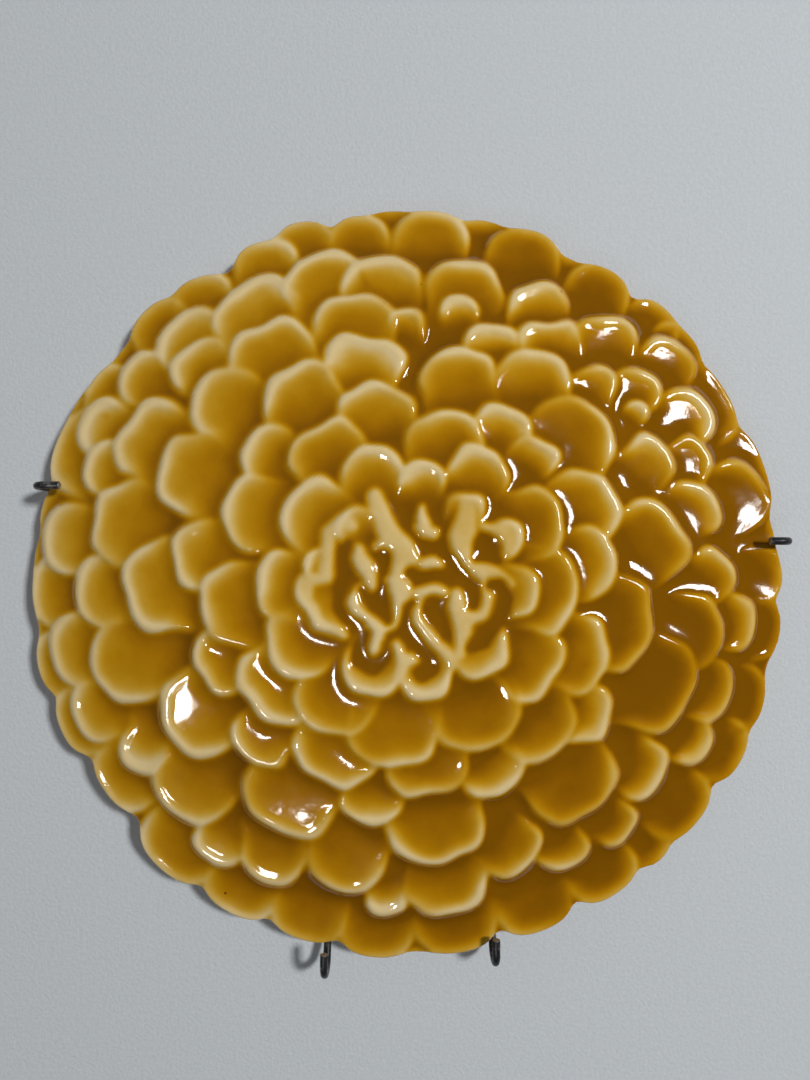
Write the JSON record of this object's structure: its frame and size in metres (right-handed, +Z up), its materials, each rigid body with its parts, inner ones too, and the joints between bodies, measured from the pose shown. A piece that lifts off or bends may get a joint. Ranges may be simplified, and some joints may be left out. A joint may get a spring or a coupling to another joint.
{
  "type": "decorative wall plaque",
  "caption": "Round domed ceramic wall plaque with overlapping flower petals in amber glaze and a scalloped rim, held on the wall by a sprung wire plate hanger.",
  "frame": {"origin": "the nail point: on the wall plane, at the top of the nail that carries the peak of the upper hanger wire, 92 mm above the middle of the plaque", "axes": "+Z up, the front of the plaque faces -Y, +X to the right of someone looking at it; the wall is the plane Y = 0"},
  "size_m": [0.252, 0.0329, 0.255],
  "materials": {
    "amber_glaze": "glossy transparent honey-amber glaze over cream clay, pale on the crests and brown in the hollows",
    "black_wire": "blackened steel wire with worn metallic glints",
    "spring_steel": "dull drawn steel spring wire"
  },
  "bodies": {
    "root": {"plaque": "amber_glaze", "upper_hanger_wire": "black_wire", "lower_hanger_wire": "black_wire", "left_spring": "spring_steel", "right_spring": "spring_steel"}
  },
  "joints": []
}
